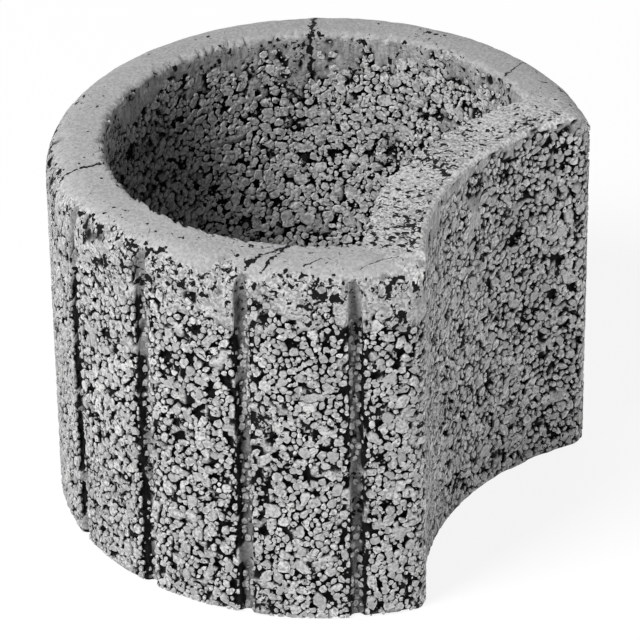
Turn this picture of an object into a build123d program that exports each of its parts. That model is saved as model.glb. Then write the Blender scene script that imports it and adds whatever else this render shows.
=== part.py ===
"""Concrete planter ring: an open-ended round trough for banks and retaining walls.

It is cast in one piece of no-fines concrete. A concave recess in its side takes the round
of the next ring, so that rings stand in interlocking rows, and upright grooves line the rest.
The origin is on the ring's axis, at the base. The recess faces +X.
"""

from build123d import *
import os

os.makedirs("parts", exist_ok=True)

# Ring, in millimetres
outer_radius = 175.0
height = 250.0
wall = 38.0

# Recess for the round of the neighbouring ring
ring_spacing = 280.0  # from axis to axis, with the neighbour standing in the recess
neighbour_gap = 5.0  # clearance between the recess and the neighbour's round
recess_wall = 38.0  # thickness of the curved wall behind the recess
horn_radius = 15.0  # upright edges where the recess breaks into the round
pocket_radius = 9.0  # upright corners inside, where the recess wall meets the ring's wall

# Edges that the mould rounds off
shoulder_radius = 21.0  # outer edge of the rim
lip_radius = 4.0  # edge of the rim along the recess
foot_radius = 4.0  # outer edge of the base
parting_step = 0.5  # these three edges start this far outside the faces, and leave a faint line
rim_edge_radius = 2.5  # inner edge of the rim

# Upright grooves round the outside
groove_count = 12
groove_pitch = 23.0  # degrees from one groove to the next
groove_width = 9.0
groove_depth = 6.0

inner_radius = outer_radius - wall
recess_radius = outer_radius + neighbour_gap
recess_back_radius = recess_radius + recess_wall
recess_face = ring_spacing - recess_radius
groove_span = groove_pitch * (groove_count - 1)
first_groove = 180 - groove_span / 2

with BuildPart() as planter_ring:
    # Plan of the block: a disc with the neighbour's round bitten out of it
    with BuildSketch() as plan:
        Circle(outer_radius)
        with Locations((ring_spacing, 0)):
            Circle(recess_radius, mode=Mode.SUBTRACT)
        fillet(plan.vertices(), horn_radius)
    extrude(amount=height, both=True)

    # The turned mould ends the block at rim and base, and rounds its shoulder and foot
    with BuildSketch(Plane.XZ) as turned_half:
        Rectangle(outer_radius + parting_step, height, align=(Align.MIN, Align.MIN))
        rim_corner = turned_half.vertices().group_by(Axis.X)[-1].sort_by(Axis.Y)[-1]
        fillet(rim_corner, shoulder_radius)
        foot_corner = turned_half.vertices().group_by(Axis.X)[-1].sort_by(Axis.Y)[0]
        fillet(foot_corner, foot_radius)
    revolve(axis=Axis.Z, mode=Mode.INTERSECT)

    # Rounded lip along the recess, turned about the neighbour's axis
    lip_centre = (recess_face + parting_step - lip_radius, height + parting_step - lip_radius)
    with BuildSketch(Plane.XZ) as lip_waste:
        with Locations(lip_centre):
            Rectangle(lip_radius, lip_radius, align=(Align.MIN, Align.MIN))
            Circle(lip_radius, mode=Mode.SUBTRACT)
    revolve(axis=Axis((ring_spacing, 0, 0), (0, 0, 1)), mode=Mode.SUBTRACT)

    # Planting hole, right through: the inner round, kept clear of the wall behind the recess
    with BuildSketch() as planting_hole:
        Circle(inner_radius)
        with Locations((ring_spacing, 0)):
            Circle(recess_back_radius, mode=Mode.SUBTRACT)
        fillet(planting_hole.vertices(), pocket_radius)
    extrude(amount=height, both=True, mode=Mode.SUBTRACT)
    rim = planter_ring.faces().filter_by(Plane.XY).sort_by(Axis.Z)[-1]
    fillet(rim.inner_wires()[0].edges(), rim_edge_radius)

    # Round-bottomed grooves, open at the base and running out on the shoulder
    with BuildSketch() as grooves:
        with PolarLocations(outer_radius, groove_count, first_groove, groove_span, endpoint=True):
            with Locations((groove_width / 2 - groove_depth, 0)):
                Circle(groove_width / 2)
                Rectangle(groove_depth, groove_width, align=(Align.MIN, Align.CENTER))
    extrude(amount=height, both=True, mode=Mode.SUBTRACT)

planter_ring.part.label = "planter_ring"
export_step(planter_ring.part, "parts/planter_ring.step")
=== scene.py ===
import math

import bpy
import numpy as np
from mathutils import Matrix, Vector, noise


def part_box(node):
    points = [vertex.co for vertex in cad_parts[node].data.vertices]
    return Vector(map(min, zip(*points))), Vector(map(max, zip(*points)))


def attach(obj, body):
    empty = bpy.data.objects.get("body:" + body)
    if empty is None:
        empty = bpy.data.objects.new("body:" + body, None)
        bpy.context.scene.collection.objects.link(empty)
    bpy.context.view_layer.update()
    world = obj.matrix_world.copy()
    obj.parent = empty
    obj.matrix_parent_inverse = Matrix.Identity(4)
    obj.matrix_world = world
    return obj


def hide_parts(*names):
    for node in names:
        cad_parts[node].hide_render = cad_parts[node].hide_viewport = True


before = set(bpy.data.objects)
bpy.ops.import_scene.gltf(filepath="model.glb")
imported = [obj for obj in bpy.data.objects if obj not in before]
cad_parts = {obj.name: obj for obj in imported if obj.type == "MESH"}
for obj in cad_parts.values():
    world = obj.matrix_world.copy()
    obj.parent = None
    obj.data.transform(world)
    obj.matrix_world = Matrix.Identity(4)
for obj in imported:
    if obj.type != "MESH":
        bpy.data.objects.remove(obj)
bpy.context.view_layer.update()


# The casting
# A ring of no-fines concrete, rammed into a steel mould in one go and stripped while still green.
# Its rim and the tops of its walls keep a skin of mortar. Below them it is open between the grains.
MM = 0.001
lowest, highest = (np.array(corner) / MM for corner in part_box("planter_ring"))
ring_radius = -lowest[0]
ring_height = highest[2]
wall = 38.0
ring_spacing = 280.0
recess_radius = 180.0
recess_wall = 38.0
horn_radius = 15.0
pocket_radius = 9.0
shoulder_radius = 21.0
lip_radius = 4.0
foot_radius = 1.5
rim_edge_radius = 1.2
groove_count = 12
groove_pitch = math.radians(23.0)
groove_width = 9.0
groove_depth = 6.0
groove_angles = math.pi + groove_pitch * (np.arange(groove_count) - (groove_count - 1) / 2)


def plan_arcs(round_radius, bite_radius, corner_radius, face):
    """Arcs of a plan outline: the round, a corner, the bite of the neighbour and the other corner.

    Each is centre, radius, first angle, last angle, and 1 if the concrete's face looks outward there.
    """
    reach = round_radius - corner_radius
    back = bite_radius + corner_radius
    x = (reach**2 - back**2 + ring_spacing**2) / (2 * ring_spacing)
    y = math.sqrt(reach**2 - x**2)
    turn = math.atan2(y, x)
    bite = math.atan2(y, ring_spacing - x)
    return [
        ((0.0, 0.0), round_radius, turn, 2 * math.pi - turn, face),
        ((x, -y), corner_radius, -turn, bite, face),
        ((ring_spacing, 0.0), bite_radius, math.pi + bite, math.pi - bite, -face),
        ((x, y), corner_radius, -bite, turn, face),
    ]


def trace(arcs, fractions):
    """Points along the arcs, at these fractions of each, and which way the concrete faces there."""
    points = []
    faces = []
    for (centre, radius, first, last, face), share in zip(arcs, fractions):
        angle = first + (last - first) * share
        spoke = np.stack([np.cos(angle), np.sin(angle)], axis=1)
        points.append(np.array(centre) + radius * spoke)
        faces.append(face * spoke)
    return np.concatenate(points), np.concatenate(faces)


def swell(points, size):
    """Smooth noise from -1 to 1, with swells of this size. Points moved far away give another one."""
    return np.array([noise.noise(point) for point in points / size])


def rounded(past, radius):
    """How far a rounded edge has fallen away, this far past the start of its curve."""
    return radius - np.sqrt(radius**2 - np.clip(past, 0, radius) ** 2)


def groove_cut(angle):
    """How deep the mould's ribs have cut into the round at these polar angles."""
    half = groove_width / 2
    aside = ring_radius * np.abs(angle[:, None] - groove_angles).min(axis=1)
    bottom = groove_depth - half + np.sqrt(np.maximum(half**2 - aside**2, 0))
    return np.where(aside < half, bottom, 0)


def rim_height(plan):
    """Height of the mould's top face over these plan points, with its rounded shoulder and lip."""
    axis_distance = np.hypot(plan[:, 0], plan[:, 1])
    neighbour_distance = np.hypot(plan[:, 0] - ring_spacing, plan[:, 1])
    shoulder = rounded(axis_distance - ring_radius + shoulder_radius, shoulder_radius)
    lip = rounded(recess_radius + lip_radius - neighbour_distance, lip_radius)
    return ring_height - np.maximum(shoulder, lip)


# Mortar skin: how far down the walls it comes, how ragged its lower edge is, and patches below it
skin_foot_round = 214.0
skin_foot_recess = 236.0
skin_foot_lean = 10.0
skin_lean_run = 50.0
skin_foot_hole = 226.0
skin_ragged = 26.0
skin_ragged_size = 17.0
skin_fray = 18.0
skin_fray_size = 6.0
skin_fade = 20.0
patch_size = 14.0
patch_from = 0.16
patch_fade = 0.3
patch_close = 0.9


def outer_skin_foot(points, in_recess):
    """Height down to which mortar closes the outside: less deep in the recess, least at its far end."""
    lean = skin_foot_lean * np.clip(points[:, 1] / skin_lean_run, -1, 1)
    return skin_foot_round + in_recess * (skin_foot_recess + lean - skin_foot_round)


def hole_skin_foot(points, in_recess):
    """Height down to which mortar closes the hole's wall, the same all round."""
    return skin_foot_hole + 0 * in_recess


def mortar_skin(points, foot):
    """How far mortar has closed the face: 1 at the tops of the walls, 0 on open grain."""
    ragged = skin_ragged * swell(points, skin_ragged_size) + skin_fray * swell(points, skin_fray_size)
    band = np.clip(0.5 + (points[:, 2] - foot + ragged) / skin_fade, 0, 1)
    clump = swell(points + 300.0, patch_size) + 0.6 * swell(points + 700.0, patch_size / 2)
    return np.maximum(band, np.clip((clump - patch_from) / patch_fade, 0, patch_close))


outer_arcs = plan_arcs(ring_radius, recess_radius, horn_radius, 1)
inner_arcs = plan_arcs(ring_radius - wall, recess_radius + recess_wall, pocket_radius, -1)

# Stations round the plan, closer together across each groove
end_steps = 9
panel_steps = 17
corner_steps = 10
bite_steps = 70
groove_steps = np.array([-1.25, -1.02, -0.95, -0.75, -0.4, 0.0, 0.4, 0.75, 0.95, 1.02, 1.25])
groove_reach = groove_steps[-1] * groove_width / 2 / ring_radius
round_first, round_last = outer_arcs[0][2:4]
round_stations = [np.linspace(round_first, groove_angles[0] - groove_reach, end_steps)[:-1]]
for angle, following in zip(groove_angles, [*groove_angles[1:] - groove_reach, round_last]):
    round_stations.append(angle + groove_steps * groove_width / 2 / ring_radius)
    round_stations.append(np.linspace(angle + groove_reach, following, panel_steps)[1:-1])
round_stations = np.concatenate([*round_stations, [round_last]])
corner_share = np.linspace(0, 1, corner_steps)[1:-1]
bite_share = np.linspace(0, 1, bite_steps)
round_share = (round_stations - round_first) / (round_last - round_first)
shares = [round_share, corner_share, bite_share, corner_share]
outer_plan, outer_face = trace(outer_arcs, shares)
inner_plan, inner_face = trace(inner_arcs, [np.linspace(0, 1, len(round_share)), *shares[1:]])
station_cut = np.zeros(len(outer_plan))
station_cut[: len(round_stations)] = groove_cut(round_stations)
outer_plan = outer_plan - station_cut[:, None] * outer_face
in_recess = np.repeat([0.0, 0.5, 1.0, 0.5], [len(share) for share in shares])

# Rows of the section: up the outside, over the rim, down the hole and back along the base
wall_rows = 92
rim_rows = 26
rim_crowding = 1.6
base_rows = 9
edge_bite = 7.0
grain_setback = 3.8
setback_swell = 1.6
foot_fill = 8.0
skin_edge_fall = 4.5
chip_depth = 5.0
chipped_foot = 7.0
groove_lining = 0.68
# Painted shade: how deep the grooves look at least, and how much darker the walls are painted
groove_painted_shade = 1.6
recess_band_foot = 190.0
recess_band_fade = 30.0
hole_band_foot = 205.0
hole_band_fade = 25.0
wall_tone = 0.7
wall_painted_shade = 0.7
shoulder_painted_shade = 0.75
hole_painted_shade = 0.9
base_tone = 0.5
rim_tone = 0.26
rng = np.random.default_rng(20)
rows = []
looks = {"depth": [], "tone": [], "pitted": [], "streaky": []}


def add_row(plan, z, face, lift, depth, tone, pitted, streaky, shade=0):
    """Keeps one row of the casting's mesh, this deep behind the mould's face, and how it looks.

    Its tone goes from plain stone at 0 to sandy mortar at 1. Shade is painted shade, which darkens it as
    if it lay deeper than it is.
    """
    rows.append(np.column_stack([plan - depth[:, None] * face, z + lift * depth]))
    for word, values in zip(looks, (depth + shade, tone, pitted, streaky)):
        looks[word].append(values + 0 * depth)


def uneven(points):
    """The slight unevenness of a mortar face, in mm."""
    return 0.35 + 0.35 * swell(points, 9.0)


def chips(points):
    """Where bits have broken off an edge, in mm."""
    return chip_depth * np.clip(swell(points + 900.0, 11.0) - 0.3, 0, 1)


def open_depth(points, foot):
    """How far the casting lies behind the mould's face, between the grains."""
    hollow = grain_setback + setback_swell * (swell(points, 8.0) + 0.7 * swell(points, 4.5))
    filled = np.clip(points[:, 2] / foot_fill, 0.2, 1)
    bare = np.clip((0.7 - mortar_skin(points, foot)) / 0.5, 0, 1)
    return bare * np.maximum(hollow, 0.6) * filled + uneven(points)


def wall_pits(points):
    """How pitted the mortar on a wall is, from 0 to 1."""
    return np.clip(0.75 + 0.5 * swell(points + 500.0, 14.0), 0, 1)


# Up the outside, where mortar lines the grooves and the foot is chipped
rim_start = rim_height(outer_plan)
foot_start = rounded(np.hypot(*outer_plan.T) - ring_radius + foot_radius, foot_radius)
outer_foot = outer_skin_foot(outer_plan, in_recess)
in_groove = station_cut / groove_depth
for share in np.linspace(0, 1, wall_rows):
    z = foot_start + (rim_start - foot_start) * share
    points = np.column_stack([outer_plan, z])
    depth = open_depth(points, outer_foot) * (1 - groove_lining * in_groove)
    depth = depth + chips(points) * np.clip(1 - z / chipped_foot, 0, 1)
    top_band = in_recess * np.clip((z - recess_band_foot) / recess_band_fade, 0, 1)
    pitted = np.clip(wall_pits(points) - 0.1 * in_groove, 0, 1) - 0.45 * top_band
    # Painted shade: the walls are darkened, more at the top of the recess, and the grooves get a lower
    # tone and look at least this deep
    tone = wall_tone - 0.3 * in_groove
    shade = (wall_painted_shade + 0.2 * top_band) * (1 - in_groove)
    shade = shade + in_groove * np.clip(groove_painted_shade - depth, 0, None)
    add_row(outer_plan, z, outer_face, 0, depth, tone, pitted, top_band, shade)

# Over the rim, from the shoulder or the lip to the broken edge of the hole
across = inner_plan - outer_plan
breadth = np.hypot(*across.T)
bites = edge_bite * rng.random(len(breadth)) ** 2
edge_radius = shoulder_radius + (lip_radius - shoulder_radius) * in_recess
for share in np.linspace(0, 1, rim_rows)[1:]:
    inward = share**rim_crowding
    plan = outer_plan + (inward - bites * share**6 / breadth)[:, None] * across
    top = rim_height(plan)
    z = top - rounded(rim_edge_radius - (1 - inward) * breadth, rim_edge_radius)
    points = np.column_stack([plan, z])
    up = np.clip(1 - (ring_height - top) / edge_radius, 0, 1)
    out = np.sqrt(1 - up**2)
    depth = uneven(points) + chips(points) * np.clip(2 * out, 0, 1) * (1 - share)
    fallen = ring_height - top - skin_edge_fall * (1 + swell(points, 20.0) + 0.5 * swell(points, 6.0))
    shoulder = np.clip(fallen / 2, 0, 1)
    on_lip = in_recess * np.clip(4 * out, 0, 1)
    pitted = np.clip(0.3 + 0.4 * in_recess + 0.5 * shoulder + 0.4 * swell(points, 24.0), 0, 1)
    pitted = pitted * (1 - 0.8 * on_lip)
    # The lighter tone along the recess's rounded lip is a painted highlight
    tone = rim_tone + 0.54 * in_recess + 0.44 * shoulder * (1 - in_recess) + 0.2 * on_lip
    # Painted shade darkens the shoulder where it falls away outside the recess
    shade = shoulder_painted_shade * shoulder * (1 - in_recess)
    add_row(plan, z, out[:, None] * outer_face, -up, depth, tone, pitted, 0, shade)

# Down the hole, whose wall is darkened all over by painted shade
hole_top = ring_height - rim_edge_radius
for share in np.linspace(0, 1, wall_rows)[1:]:
    z = np.full(len(inner_plan), hole_top * (1 - share))
    points = np.column_stack([inner_plan, z])
    depth = open_depth(points, hole_skin_foot(points, in_recess))
    top_band = np.clip((z - hole_band_foot) / hole_band_fade, 0, 1)
    pitted = wall_pits(points) - 0.2 * top_band
    add_row(inner_plan, z, inner_face, 0, depth, wall_tone, pitted, top_band, hole_painted_shade)

# Back along the base, which is uneven
for share in np.linspace(0, 1, base_rows)[1:-1]:
    plan = inner_plan - share * across
    points = np.column_stack([plan, np.zeros(len(plan))])
    hollow = 0.6 + 0.5 * swell(points, 6.0)
    add_row(plan, share**4 * foot_start, 0 * across, 1, hollow, base_tone, wall_pits(points), 0)


def make_piece(name, points, faces, **finish):
    """A mesh from arrays, in mm, with what its material reads at each point."""
    mesh = bpy.data.meshes.new(name)
    mesh.from_pydata((points * MM).tolist(), [], faces.tolist())
    for word, values in finish.items():
        mesh.attributes.new(word, "FLOAT", "POINT").data.foreach_set("value", values.astype(np.float32))
    mesh.shade_smooth()
    mesh.validate()
    piece = bpy.data.objects.new(name, mesh)
    bpy.context.scene.collection.objects.link(piece)
    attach(piece, "root")
    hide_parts("planter_ring")
    return piece


station_count = len(outer_plan)
row_count = len(rows)
grid = np.arange(row_count * station_count).reshape(row_count, station_count)
next_row = np.roll(grid, -1, axis=0)
quads = np.stack([grid, np.roll(grid, -1, axis=1), np.roll(next_row, -1, axis=1), next_row], axis=-1)
casting = make_piece(
    "ring_casting",
    np.concatenate(rows),
    quads.reshape(-1, 4),
    **{word: np.concatenate(values) for word, values in looks.items()},
)


class Value:
    """A socket of a material's nodes. Sums and products of values add Math nodes."""

    def __init__(self, tree, socket):
        self.tree = tree
        self.socket = socket

    def node(self, kind, settings=None, inputs=None, output=0):
        """Adds a node with these settings and socket values or links, and returns one of its outputs."""
        made = self.tree.nodes.new(kind)
        for name, setting in (settings or {}).items():
            setattr(made, name, setting)
        for name, given in (inputs or {}).items():
            if isinstance(given, Value):
                self.tree.links.new(given.socket, made.inputs[name])
            else:
                made.inputs[name].default_value = given
        return Value(self.tree, made.outputs[output])

    def output(self, which):
        """Another output of the same node."""
        return Value(self.tree, self.socket.node.outputs[which])

    def maths(self, operation, first, second):
        """Adds a Math node."""
        return self.node("ShaderNodeMath", {"operation": operation}, {0: first, 1: second})

    def __add__(self, other):
        return self.maths("ADD", self, other)

    def __sub__(self, other):
        return self.maths("SUBTRACT", self, other)

    def __mul__(self, other):
        return self.maths("MULTIPLY", self, other)

    def __rsub__(self, other):
        return self.maths("SUBTRACT", other, self)

    __radd__ = __add__
    __rmul__ = __mul__

    def least(self, other):
        return self.maths("MINIMUM", self, other)

    def most(self, other):
        return self.maths("MAXIMUM", self, other)

    def ramp(self, low, high):
        """Goes smoothly from 0 to 1 as the value goes from low to high."""
        ends = {"Value": self, "From Min": low, "From Max": high}
        return self.node("ShaderNodeMapRange", {"interpolation_type": "SMOOTHSTEP"}, ends)

    def mix(self, first, second):
        """Mixes two colours, with this value as the share of the second."""
        return self.node("ShaderNodeMix", {"data_type": "RGBA"}, {0: self, 6: first, 7: second}, 2)


mortar_grey = (0.27, 0.268, 0.266, 1.0)
mortar_pale = (0.64, 0.636, 0.630, 1.0)
stone_grey = (0.30, 0.30, 0.304, 1.0)
# The colour of painted shade, in gaps, pits, crevices, cracks and holes
painted_shade_colour = (0.003, 0.003, 0.0033, 1.0)
crack_ends = [
    ((-100.0, -97.0), (-118.0, -121.0), 1.4),
    ((53.0, -126.0), (38.6, -159.0), 1.7),
    ((51.0, -134.0), (50.4, -159.0), 1.1),
    ((-72.0, 108.0), (-88.0, 146.0), 2.2),
    ((63.3, 122.0), (66.0, 149.0), 0.7),
    ((70.5, -145.0), (76.8, -133.3), 0.6),
    ((100.5, -128.0), (115.6, -107.2), 0.4),
]
crack_foot = 213.0
crack_fade = 4.0


def concrete(name, cracked):
    """Grey concrete: sandy mortar and stone, with painted shade in the gaps and pits. The casting's is
    cracked too.
    """
    material = bpy.data.materials.new(name)
    material.use_nodes = True
    tree = material.node_tree
    shader = tree.nodes["Principled BSDF"]
    start = Value(tree, None)
    place = start.node("ShaderNodeTexCoord", output=3)

    def look(word):
        """What the mesh says at each point."""
        return start.node("ShaderNodeAttribute", {"attribute_name": word}, output=2)

    def vector(operation, first, second, output=0):
        """Adds a Vector Math node. Its output 1 is a single value."""
        given = {0: first, 1: second}
        return start.node("ShaderNodeVectorMath", {"operation": operation}, given, output)

    def grain(size, detail, where=place, output=0):
        """Noise with grains of this size in mm."""
        given = {"Vector": where, "Scale": 1 / (size * MM), "Detail": detail, "Roughness": 0.65}
        return start.node("ShaderNodeTexNoise", inputs=given, output=output)

    def shifted(size, detail, reach):
        """The place, pushed about by up to this reach in swirls of this size."""
        push = vector("SUBTRACT", grain(size, detail, output=1), (0.5, 0.5, 0.5))
        return vector("ADD", place, vector("MULTIPLY", push, (reach * MM, reach * MM, reach * MM)))

    # Sand, blotches and clouds in the mortar, and ragged little pits, painted dark as shade and sunk by
    # the bump
    specks = grain(2.0, 1.0)
    blotches = grain(5.0, 2.0)
    clouds = grain(40.0, 2.0)
    ragged = grain(2.6, 2.0)
    pitted = look("pitted")
    sandy = 0.6 * specks + 0.25 * blotches + 0.15 * clouds
    dark = (ragged + 0.3 * blotches + 0.2 * pitted).ramp(0.92, 0.97)
    relief = 0.4 * specks + 0.5 * ragged - 1.2 * dark
    if cracked:
        # Upright streaks, left where the mould was drawn off
        streaks = grain(2.8, 3.0, vector("MULTIPLY", shifted(6.0, 1.0, 2.0), (1.0, 1.0, 0.2)))
        streaky = look("streaky")
        sandy = sandy + (0.5 * streaky) * (streaks - sandy)
        # Crevices round clumps of mortar, painted dark as shade and sunk by the bump
        cell = {"Vector": shifted(3.0, 1.0, 3.5), "Scale": 1 / (6.5 * MM)}
        cells = start.node("ShaderNodeTexVoronoi", {"feature": "DISTANCE_TO_EDGE"}, cell)
        crevices = (0.22 * (pitted + 2.2 * blotches - 1.75) - cells).ramp(0.0, 0.05)
        # Cracks that wander along a line in plan and end below the rim, painted dark as shade and sunk
        # by the bump
        flat = vector("MULTIPLY", shifted(7.0, 4.0, 8.0), (1, 1, 0))
        cracks = 0.0 * pitted
        for first, last, wide in crack_ends:
            run = (MM * (last[0] - first[0]), MM * (last[1] - first[1]), 0.0)
            begin = (MM * first[0], MM * first[1], 0.0)
            from_begin = vector("SUBTRACT", flat, begin)
            share = vector("DOT_PRODUCT", from_begin, run, 1) * (1 / (run[0] ** 2 + run[1] ** 2))
            nearest = vector("MULTIPLY", share.most(0.0).least(1.0), run)
            gap = vector("LENGTH", vector("SUBTRACT", from_begin, nearest), (0, 0, 0), 1)
            open_here = (MM * wide) * (4.5 * blotches - 1.5)
            cracks = cracks.most((open_here - gap).ramp(-0.2 * MM, 0.3 * MM))
        height = start.node("ShaderNodeSeparateXYZ", inputs={0: place}, output=2)
        cracks = cracks * height.ramp(crack_foot * MM, (crack_foot + crack_fade) * MM)
        # Holes where a stone has come out, painted dark as shade and sunk by the bump
        holes = (grain(5.8, 1.0) + 0.3 * ragged + 0.3 * pitted).ramp(0.97, 0.995)
        dark = dark.most(crevices).most(cracks).most(holes)
        relief = relief - crevices - cracks - holes
    # Pale and grey mortar over the stone, and painted shade, all but black, where it lies deep, in its
    # pits, and in the casting's crevices, cracks and holes
    pale = (sandy - 0.5) * (3.2 + 3 * pitted) + 0.5
    surface = pale.ramp(0.0, 1.0).mix(mortar_grey, mortar_pale)
    surface = look("tone").mix(stone_grey, surface)
    painted_shade_share = look("depth").ramp(0.65, 2.5).most(dark)
    colour = (0.99 * painted_shade_share).mix(surface, painted_shade_colour)
    bump = start.node("ShaderNodeBump", inputs={"Strength": 0.8, "Distance": 1.2 * MM, "Height": relief})
    tree.links.new(colour.socket, shader.inputs["Base Color"])
    tree.links.new(bump.socket, shader.inputs["Normal"])
    shader.inputs["Roughness"].default_value = 0.92
    shader.inputs["Specular IOR Level"].default_value = 0.12
    return material


casting.data.materials.append(concrete("cast_concrete", True))


# The grains
# Stones of about 3 to 9 mm and crumbs of 2 mm, in a coat of cement paste that sticks them together.
# The mould has pressed them flat where they meet its face, and gaps are left between them.
cobble_rings = [(0.0, 1.0), (0.86, 0.78), (1.0, 0.1), (0.0, -0.9)]
crumb_rings = [(0.0, 1.0), (1.0, 0.0), (0.0, -1.0)]
# A painted highlight: each grain's top edge, and a little its side, is lighter
ring_highlight = np.array([0.0, 0.25, 0.1, 0.0])
coarse_sides = 8
fine_sides = 6
crumb_sides = 4
grain_sizes = [(9.0, 0.10), (6.8, 0.45), (5.0, 1.2), (3.7, 2.6), (2.8, 4.0)]
coarse_from = 4.5
crumb_size = 2.2
crumb_area = 18.0
grain_touch = 0.45
grain_headroom = 4.0
closed_skin = 0.97
lost_share = 0.06
lost_below = 7.0
fused_share = 3.0
groove_grain = 4.4
groove_squeeze = 0.1
groove_spill = 0.9
room_in_hole = 99.0
arc_points = 800
grain_finish = concrete("grain_concrete", False)


class Unrolled:
    """A wall's face laid flat: length along its plan outline, height, and depth behind the face."""

    def __init__(self, arcs):
        plan, face = trace(arcs, [np.linspace(0, 1, arc_points)] * 4)
        closed = np.concatenate([plan, plan[:1]])
        steps = np.hypot(*np.diff(closed, axis=0).T)
        self.along = np.concatenate([[0], np.cumsum(steps)])
        self.plan = closed
        self.face = np.concatenate([face, face[:1]])
        self.length = self.along[-1]
        ends = [self.along[arc_points * i] for i in range(1, 4)]
        self.round_end, self.bite_start, self.bite_end = ends

    def in_bite(self, along):
        """0 on the round, 1 in the recess, and between them on the corners."""
        marks = [0, self.round_end, self.bite_start, self.bite_end, self.length]
        return np.interp(along % self.length, marks, [0, 0, 1, 1, 0])

    def fold(self, along, z, depth):
        """The points in space for places on the laid-flat face."""
        where = along % self.length
        plan = [np.interp(where, self.along, self.plan[:, i]) for i in (0, 1)]
        face = [np.interp(where, self.along, self.face[:, i]) for i in (0, 1)]
        return np.stack([plan[0] - depth * face[0], plan[1] - depth * face[1], z], axis=-1)


def scatter(length, height):
    """Throws grains of each size at a face, the largest first, and keeps those that find room."""
    cell = grain_sizes[0][0]
    columns = int(length / cell)
    kept = []
    near = {}
    for size, share in grain_sizes:
        darts = rng.random((int(share * length * height / size**2), 2)) * (length, height)
        for along, z in darts.tolist():
            column, row = int(along / length * columns), int(z / cell)
            clear = True
            for i in (column - 1, column, column + 1):
                for j in (row - 1, row, row + 1):
                    for other, other_z, other_size in near.get((i % columns, j), ()):
                        aside = abs(along - other)
                        aside = min(aside, length - aside)
                        gap = grain_touch * (size + other_size)
                        if aside * aside + (z - other_z) ** 2 < gap * gap:
                            clear = False
                            break
                    if not clear:
                        break
                if not clear:
                    break
            if clear:
                near.setdefault((column, row), []).append((along, z, size))
                kept.append((along, z, size))
    return np.array(kept)


def cobbles(face, along, z, radius, sunk, room, sides_each, rings, mould_cut):
    """Corners of rounded stones, pressed flat where they met the mould, and how deep they lie.

    Rings are shares of the radius, outward from the middle and up from the wall. Room is to either side.
    """
    count = len(along)
    turn = rng.uniform(0, 2 * math.pi, count)
    stretch = rng.uniform(0.8, 1.25, count)
    lean = rng.uniform(-0.3, 0.3, (count, 2))
    side_turn = np.arange(sides_each) + rng.uniform(-0.3, 0.3, (count, sides_each))
    side_angles = 2 * math.pi * side_turn / sides_each
    side_reach = rng.uniform(0.74, 1.2, (count, sides_each))
    parts = []
    for reach, up in rings:
        sides = sides_each if reach > 0 else 1
        spoke = (reach * radius)[:, None] * side_reach[:, :sides]
        rough = rng.uniform(0.86, 1.12, (count, sides))
        u = spoke * rough * np.cos(side_angles[:, :sides]) * stretch[:, None]
        v = spoke * rough * np.sin(side_angles[:, :sides]) / stretch[:, None]
        across = u * np.cos(turn)[:, None] - v * np.sin(turn)[:, None]
        across = room[:, None] * np.tanh(across / room[:, None])
        above = u * np.sin(turn)[:, None] + v * np.cos(turn)[:, None]
        out = up * radius[:, None] * rough + lean[:, :1] * u + lean[:, 1:] * v
        corners = [along[:, None] + across, z[:, None] + above, sunk[:, None] - out]
        parts.append(np.stack(corners, axis=-1))
    shape = np.concatenate(parts, axis=1)
    shape[..., 1] = np.clip(shape[..., 1], 0.0, None)
    at_middle = mould_cut(along, z)[:, None]
    cut = mould_cut(shape[..., 0].ravel(), shape[..., 1].ravel()).reshape(shape.shape[:2])
    pressed = rng.uniform(0.0, 0.35, count)[:, None]
    shape[..., 2] = np.maximum(shape[..., 2] + at_middle, cut + pressed)
    depth = shape[..., 2] - cut
    points = face.fold(shape[..., 0], shape[..., 1], shape[..., 2])
    return points, depth


def cobble_faces(count, sides_each, rings):
    """Triangles of the grains' joined mesh."""
    ring = np.arange(sides_each)
    after = np.roll(ring, -1)
    faces = [np.column_stack([np.zeros(sides_each, int), 1 + ring, 1 + after])]
    starts = 1 + sides_each * np.arange(len(rings) - 2)
    for upper, lower in zip(starts, starts[1:]):
        faces.append(np.column_stack([upper + ring, lower + ring, lower + after]))
        faces.append(np.column_stack([upper + ring, lower + after, upper + after]))
    last = starts[-1]
    faces.append(np.column_stack([last + ring, np.full(sides_each, last + sides_each), last + after]))
    one = np.concatenate(faces)
    corners = last + sides_each + 1
    return (one[None] + corners * np.arange(count)[:, None, None]).reshape(-1, 3)


outside = Unrolled(outer_arcs)
inside = Unrolled(inner_arcs)


def outer_cut(along, z):
    """How far the mould stands behind the plain outside: its ribs, shoulder, lip and foot."""
    bite = outside.in_bite(along)
    edge = shoulder_radius + (lip_radius - shoulder_radius) * bite
    top = rounded(z - ring_height + edge, edge)
    foot = rounded(foot_radius - z, foot_radius)
    return np.maximum.reduce([groove_cut(round_first + along / ring_radius), top, foot, 0 * z])


def inner_cut(along, z):
    """The hole's face is plain, apart from the rounded edge of the rim."""
    return rounded(z - ring_height + rim_edge_radius, rim_edge_radius)


def groove_room(angle):
    """How far a grain at these polar angles may spread before it would stand in a groove's side."""
    aside = ring_radius * np.abs(angle[:, None] - groove_angles).min(axis=1) - groove_width / 2
    return np.where(aside > 0, aside, np.minimum(-aside, groove_grain / 2))


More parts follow.
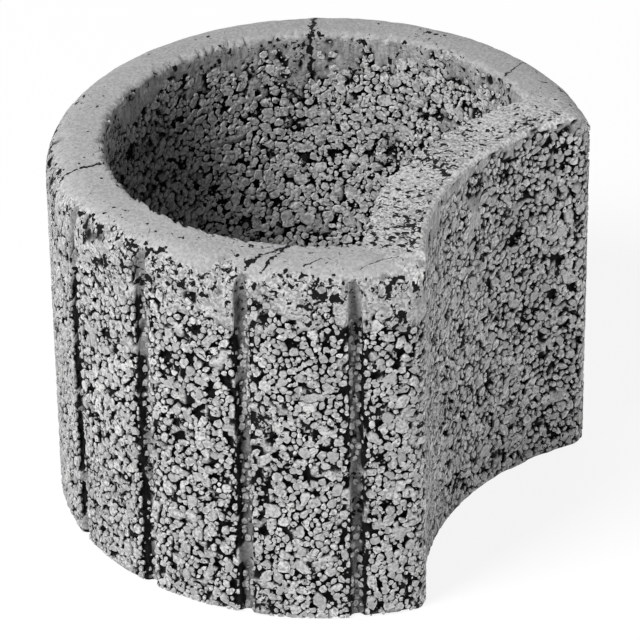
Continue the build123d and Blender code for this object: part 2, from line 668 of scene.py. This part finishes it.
def lay_grains(names, face, skin_foot, flush_shares, closer, mould_cut, winding, painted_light):
    """Scatters a wall's grains and the crumbs between them, and makes a piece of each stretch named.

    Pairs are for the round and the recess: how flush the grains lie, and how much wider they are.
    """
    height = ring_height - grain_headroom
    along, z, size = scatter(face.length, height).T
    crumbs = int(face.length * height / crumb_area)
    along = np.concatenate([along, rng.random(crumbs) * face.length])
    z = np.concatenate([z, rng.random(crumbs) * height])
    size = np.concatenate([size, rng.uniform(0.6, 1.0, crumbs) * crumb_size])
    bite = face.in_bite(along)
    middles = face.fold(along, z, 0 * z)
    skin = mortar_skin(middles, skin_foot(middles, bite))
    room = np.full(len(z), room_in_hole)
    if face is outside:
        room = groove_room(round_first + along / ring_radius)
    lost = (rng.random(len(z)) < lost_share) & (size < lost_below)
    fused = rng.random(len(z)) < np.clip((skin - 0.5) * fused_share, 0, 1)
    kept = (skin < closed_skin) & ~lost & ~fused & (room > size * groove_squeeze)
    along, z, size, bite, room = (values[kept] for values in (along, z, size, bite, room))
    spread = rng.uniform(1.0, 1.3, len(z)) + np.interp(bite, [0, 1], closer)
    radius = np.minimum(size / 2 * spread, room + groove_spill)
    flush = np.interp(bite, [0, 1], flush_shares) + rng.uniform(-0.28, 0.28, len(z))
    crumb = size <= crumb_size
    sunk = np.where(crumb, rng.uniform(0.9, 2.6, len(z)), radius * (1 - flush))
    stretch = np.where(bite > 0.5, 2, np.where(along < face.round_end / 2, 0, 1))
    coarse = size > coarse_from
    kinds = [
        (coarse_sides, cobble_rings, coarse),
        (fine_sides, cobble_rings, ~coarse & ~crumb),
        (crumb_sides, crumb_rings, crumb),
    ]
    for i, name in enumerate(names):
        points, faces, depths, tones, pits = [], [], [], [], []
        corners = 0
        for sides, rings, kind in kinds:
            mine = kind & (stretch == i)
            placed = (values[mine] for values in (along, z, radius, sunk, room))
            shape, depth = cobbles(face, *placed, sides, rings, mould_cut)
            ring_corners = [sides if reach > 0 else 1 for reach, up in rings]
            pale = np.repeat(ring_highlight[: len(rings)], ring_corners)
            # Tones at random, lighter at each grain's top edge as a painted highlight
            tone = rng.uniform(0.15, 0.85, (len(shape), 1)) + pale + painted_light
            points.append(shape.reshape(-1, 3))
            depths.append(depth.ravel())
            tones.append(np.clip(tone, 0, 1).ravel())
            pits.append(np.repeat(rng.uniform(0.2, 0.9, len(shape)), shape.shape[1]))
            faces.append(corners + cobble_faces(len(shape), sides, rings)[:, ::winding])
            corners += depth.size
        piece = make_piece(
            name,
            np.concatenate(points),
            np.concatenate(faces),
            depth=np.concatenate(depths),
            tone=np.concatenate(tones),
            pitted=np.concatenate(pits),
        )
        piece.data.materials.append(grain_finish)
        piece.data.shade_flat()


outside_names = ["grains_back", "grains_front", "grains_recess"]
inside_names = ["grains_hole_back", "grains_hole_front", "grains_hole_recess"]
# The last argument is painted light on the grains' tone: slightly below none outside, and strong in the
# hole
lay_grains(
    outside_names,
    outside,
    outer_skin_foot,
    flush_shares=(0.4, 0.22),
    closer=(0.0, 0.05),
    mould_cut=outer_cut,
    winding=1,
    painted_light=-0.05,
)
lay_grains(
    inside_names,
    inside,
    hole_skin_foot,
    flush_shares=(0.34, 0.34),
    closer=(0.05, 0.05),
    mould_cut=inner_cut,
    winding=-1,
    painted_light=0.35,
)


# The floor, the lamps and the camera
# A plain pale floor, a large soft lamp high on the left, low ones right and behind, and a dim sky.
# The camera is a long lens in front, turned 30 degrees towards the recess, as high as a person's eyes.
floor_size = 6.0
floor_drop = 0.0003
floor_white = (0.9, 0.9, 0.9, 1.0)
floor_glow = 0.88
sky_strength = 0.04
white = (1.0, 1.0, 1.0, 1.0)


def seen_by_camera(start):
    """1 for what the camera sees, straight on or in glossy or clear surfaces, and 0 for other light."""
    path = start.node("ShaderNodeLightPath")
    return (path + path.output("Is Glossy Ray") + path.output("Is Transmission Ray")).least(1.0)


floor_mesh = bpy.data.meshes.new("floor")
corner = floor_size / 2
floor_mesh.from_pydata(
    [(-corner, -corner, 0), (corner, -corner, 0), (corner, corner, 0), (-corner, corner, 0)],
    [],
    [(0, 1, 2, 3)],
)
floor = bpy.data.objects.new("floor", floor_mesh)
floor.location.z = -floor_drop
bpy.context.scene.collection.objects.link(floor)
floor_paint = bpy.data.materials.new("pale_floor")
floor_paint.use_nodes = True
floor_tree = floor_paint.node_tree
floor_shader = floor_tree.nodes["Principled BSDF"]
floor_shader.inputs["Base Color"].default_value = floor_white
floor_shader.inputs["Roughness"].default_value = 1.0
lit = Value(floor_tree, floor_shader.outputs[0])
seen = seen_by_camera(lit)
glow = lit.node("ShaderNodeEmission", inputs={"Color": white, "Strength": 1.0})
shown = lit.node("ShaderNodeMixShader", inputs={0: floor_glow * seen, 1: lit, 2: glow})
floor_tree.links.new(shown.socket, floor_tree.nodes["Material Output"].inputs["Surface"])
floor_mesh.materials.append(floor_paint)

world = bpy.data.worlds.new("studio")
world.use_nodes = True
bpy.context.scene.world = world
sky_tree = world.node_tree
start = Value(sky_tree, None)
seen = seen_by_camera(start)
sky = start.node("ShaderNodeBackground", inputs={"Color": white, "Strength": sky_strength})
backdrop = start.node("ShaderNodeBackground", inputs={"Color": white, "Strength": 1.0})
both = start.node("ShaderNodeMixShader", inputs={0: seen, 1: sky, 2: backdrop})
sky_tree.links.new(both.socket, sky_tree.nodes["World Output"].inputs["Surface"])


def lamp(name, azimuth, elevation, distance, size, power):
    """A square soft lamp that looks at the middle of the ring. Azimuths run from -Y towards +X."""
    data = bpy.data.lights.new(name, "AREA")
    data.energy = power
    data.size = size
    made = bpy.data.objects.new(name, data)
    a, e = math.radians(azimuth), math.radians(elevation)
    back = Vector((math.sin(a) * math.cos(e), -math.cos(a) * math.cos(e), math.sin(e)))
    made.location = back * distance + Vector((0, 0, ring_height / 2 * MM))
    made.rotation_euler = back.to_track_quat("Z", "Y").to_euler()
    bpy.context.scene.collection.objects.link(made)


lamp("key_lamp", azimuth=-20.0, elevation=48.0, distance=3.0, size=1.0, power=122.0)
lamp("fill_lamp", azimuth=92.0, elevation=6.0, distance=2.0, size=0.7, power=17.5)
lamp("back_lamp", azimuth=200.0, elevation=4.0, distance=2.0, size=0.9, power=24.0)

view_azimuth = math.radians(30.32)
view_elevation = math.radians(30.80)
view_distance = 2.6772
view_pivot = Vector((0, 0, 0.1472))
view_aim = Vector((0.00529, -0.01459, 0.12192))
view_roll = math.radians(-0.742)
lens_in_pixels = 4169.7
image_side = 640
camera_data = bpy.data.cameras.new("camera")
camera_data.sensor_width = 36.0
camera_data.lens = camera_data.sensor_width * lens_in_pixels / image_side
camera = bpy.data.objects.new("camera", camera_data)
view_back = Vector(
    (
        math.sin(view_azimuth) * math.cos(view_elevation),
        -math.cos(view_azimuth) * math.cos(view_elevation),
        math.sin(view_elevation),
    )
)
camera.location = view_pivot + view_distance * view_back
facing = (camera.location - view_aim).to_track_quat("Z", "Y")
camera.rotation_mode = "QUATERNION"
camera.rotation_quaternion = facing @ Matrix.Rotation(view_roll, 3, "Z").to_quaternion()
bpy.context.scene.collection.objects.link(camera)
bpy.context.scene.camera = camera
bpy.context.scene.view_settings.view_transform = "Standard"
